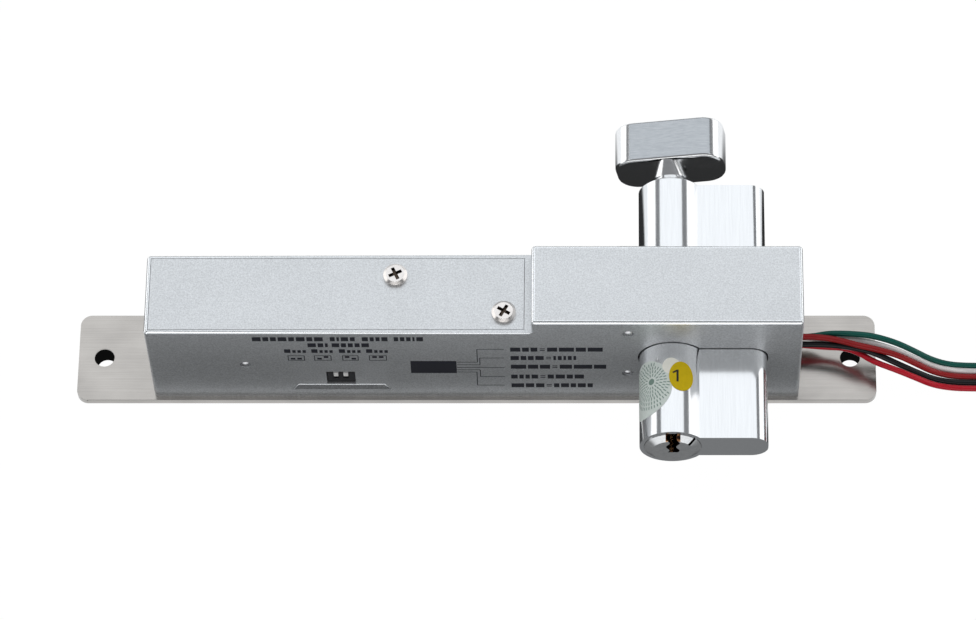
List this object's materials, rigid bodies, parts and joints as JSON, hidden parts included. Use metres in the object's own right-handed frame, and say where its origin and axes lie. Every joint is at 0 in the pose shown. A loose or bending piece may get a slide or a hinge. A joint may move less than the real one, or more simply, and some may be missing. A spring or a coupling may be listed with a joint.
{
  "type": "electric bolt lock",
  "caption": "Slim electric bolt lock on a long faceplate, with a profile cylinder through its body, a thumb knob and lead wires.",
  "frame": {"origin": "midway between the two mounting holes, on the front face of the faceplate", "axes": "+X along the faceplate toward the wires, -Y the key side, +Z from the faceplate into the door frame"},
  "size_m": [0.273, 0.0941, 0.043],
  "materials": {
    "faceplate": "satin",
    "housing": "satin",
    "lid": "satin",
    "nickel": "satin",
    "steel": "satin",
    "brass": "satin",
    "plastic": "matte",
    "slider": "satin",
    "copper": "gloss",
    "board": "satin",
    "rubber": "matte",
    "wire_green": "satin",
    "wire_white": "satin",
    "wire_orange": "satin",
    "wire_black": "satin",
    "wire_red": "satin"
  },
  "bodies": {
    "lock": {"faceplate": "faceplate", "housing": "housing", "lid": "lid", "lid_screws": "nickel", "plate_screws": "nickel", "cylinder_body": "nickel", "cylinder_screw": "nickel", "driver_pins": "steel", "pin_springs": "steel", "bolt_bush": "brass", "crank_pin": "steel", "return_spring": "steel", "bobbin": "plastic", "coil": "copper", "yoke": "steel", "main_board": "board", "relay": "plastic", "capacitor": "plastic", "chip": "plastic", "board_pin": "steel", "dip_body": "plastic", "sensor_board": "board", "sensor_pins": "steel", "sensor": "plastic", "wire_loom": "wire_red", "grommet": "rubber", "wire_green": "wire_green", "wire_white": "wire_white", "wire_orange": "wire_orange", "wire_black": "wire_black", "wire_red": "wire_red", "wire_coil": "wire_red", "coil_tie": "plastic"},
    "bolt_group": {"bolt": "steel", "drive_pin": "steel", "bolt_lifter": "steel", "lifter_screw": "nickel"},
    "crank_group": {"crank": "steel"},
    "plunger_group": {"plunger": "steel", "plunger_pin": "steel", "tail_clip": "steel"},
    "thumb_group": {"thumb_shaft": "nickel", "thumb_knob": "nickel", "cam": "steel", "clutch": "brass", "shaft_clip": "steel"},
    "plug_group": {"key_plug": "nickel", "key_pins": "brass", "plug_clip": "steel"},
    "slider_one": {"dip_slider_1": "slider"},
    "slider_two": {"dip_slider_2": "slider"}
  },
  "joints": [
    {"name": "bolt_slide", "type": "slide", "parent": "lock", "child": "bolt_group", "axis": [0, 0, -1], "range_m": [0, 0.014], "stiffness_N_per_m": 300, "springref_m": -0.005},
    {"name": "crank_turn", "type": "hinge", "parent": "lock", "child": "crank_group", "pos_m": [0.014, 0, 0.014], "axis": [0, 1, 0], "range_deg": [0, 56.61]},
    {"name": "plunger_slide", "type": "slide", "parent": "lock", "child": "plunger_group", "axis": [1, 0, 0], "range_m": [0, 0.01239], "deforming": ["return_spring"]},
    {"name": "thumb_turn", "type": "hinge", "parent": "lock", "child": "thumb_group", "pos_m": [0.051, 0, 0.024], "axis": [0, -1, 0], "range_deg": [-90, 180]},
    {"name": "key_turn", "type": "hinge", "parent": "lock", "child": "plug_group", "pos_m": [0.051, 0, 0.024], "axis": [0, -1, 0], "continuous": true},
    {"name": "delay_slider_one", "type": "slide", "parent": "lock", "child": "slider_one", "axis": [0, 0, -1], "range_m": [0, 0.0016]},
    {"name": "delay_slider_two", "type": "slide", "parent": "lock", "child": "slider_two", "axis": [0, 0, -1], "range_m": [0, 0.0016]}
  ],
  "couplings": [
    {"joint": "crank_turn", "follows": "bolt_slide", "rad_per_m": 70.563},
    {"joint": "plunger_slide", "follows": "bolt_slide", "ratio": 0.88464}
  ]
}
